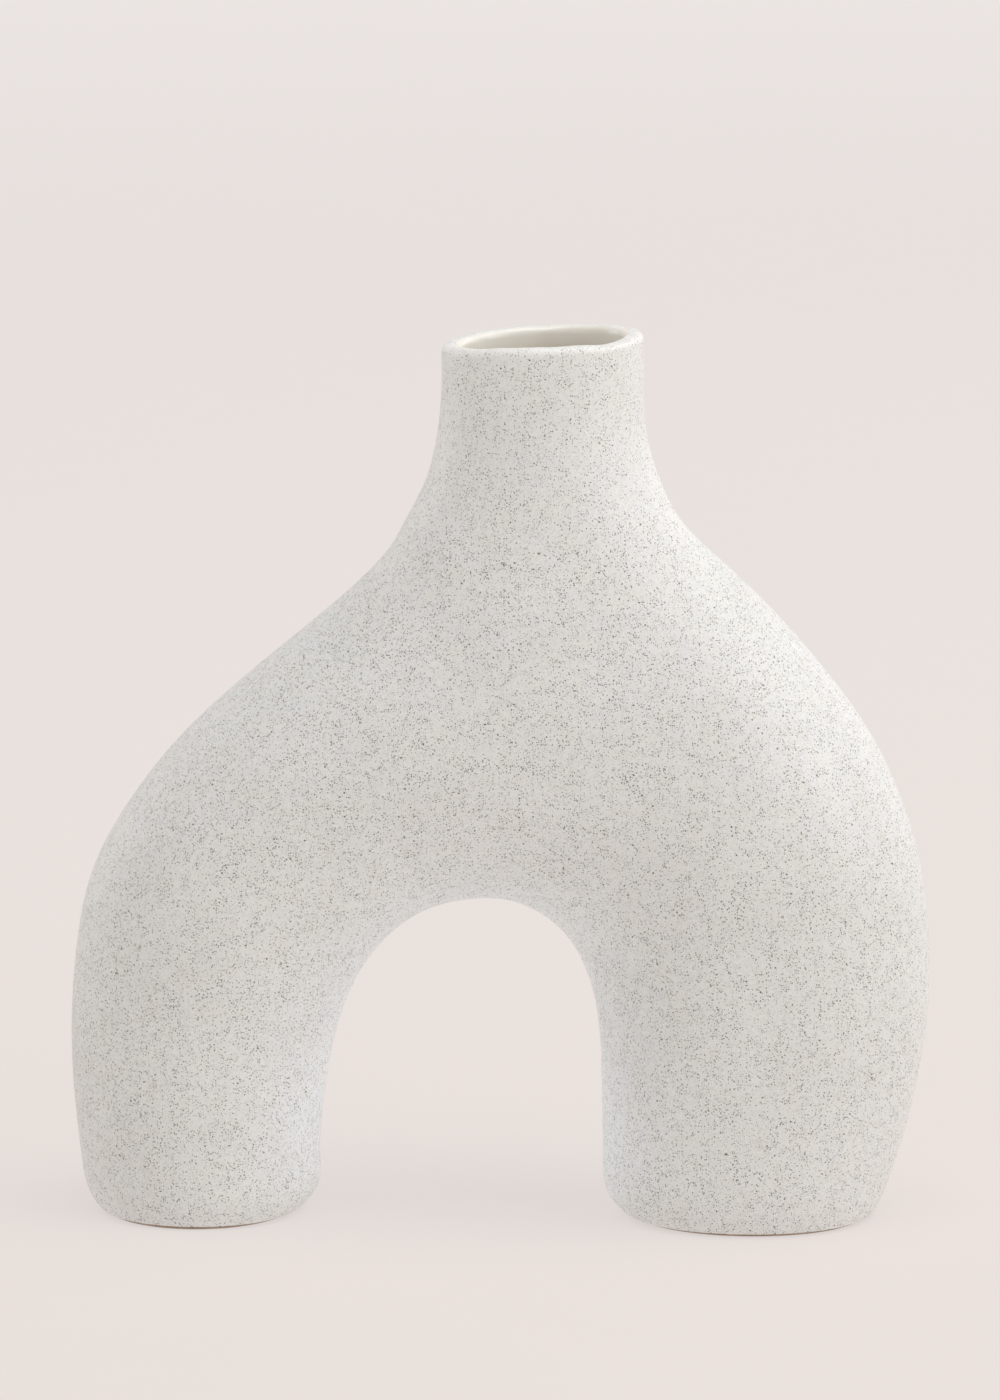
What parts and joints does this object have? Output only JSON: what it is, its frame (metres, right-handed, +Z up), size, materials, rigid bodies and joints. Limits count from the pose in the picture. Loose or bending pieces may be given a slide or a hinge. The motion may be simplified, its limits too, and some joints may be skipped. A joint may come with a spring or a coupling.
{
  "type": "vase",
  "caption": "Glazed stoneware vase with two hollow legs over an open arch, joined under one off-centre round neck.",
  "frame": {"origin": "on the resting plane, under the middle of the vase's bounding box", "axes": "+Z up, +X towards the vase's right as seen from the front, -Y towards the front"},
  "size_m": [0.2465, 0.08, 0.2542],
  "materials": {
    "bare_stoneware": "matt, unglazed, warm brown",
    "speckled_glaze": "satin off-white with fine dark specks",
    "liner_glaze": "glossy cream, no specks"
  },
  "bodies": {
    "root": {"neck_and_shoulders": "bare_stoneware", "left_leg": "bare_stoneware", "right_leg": "bare_stoneware", "speckled_glaze": "speckled_glaze", "liner_glaze": "liner_glaze"}
  },
  "joints": []
}
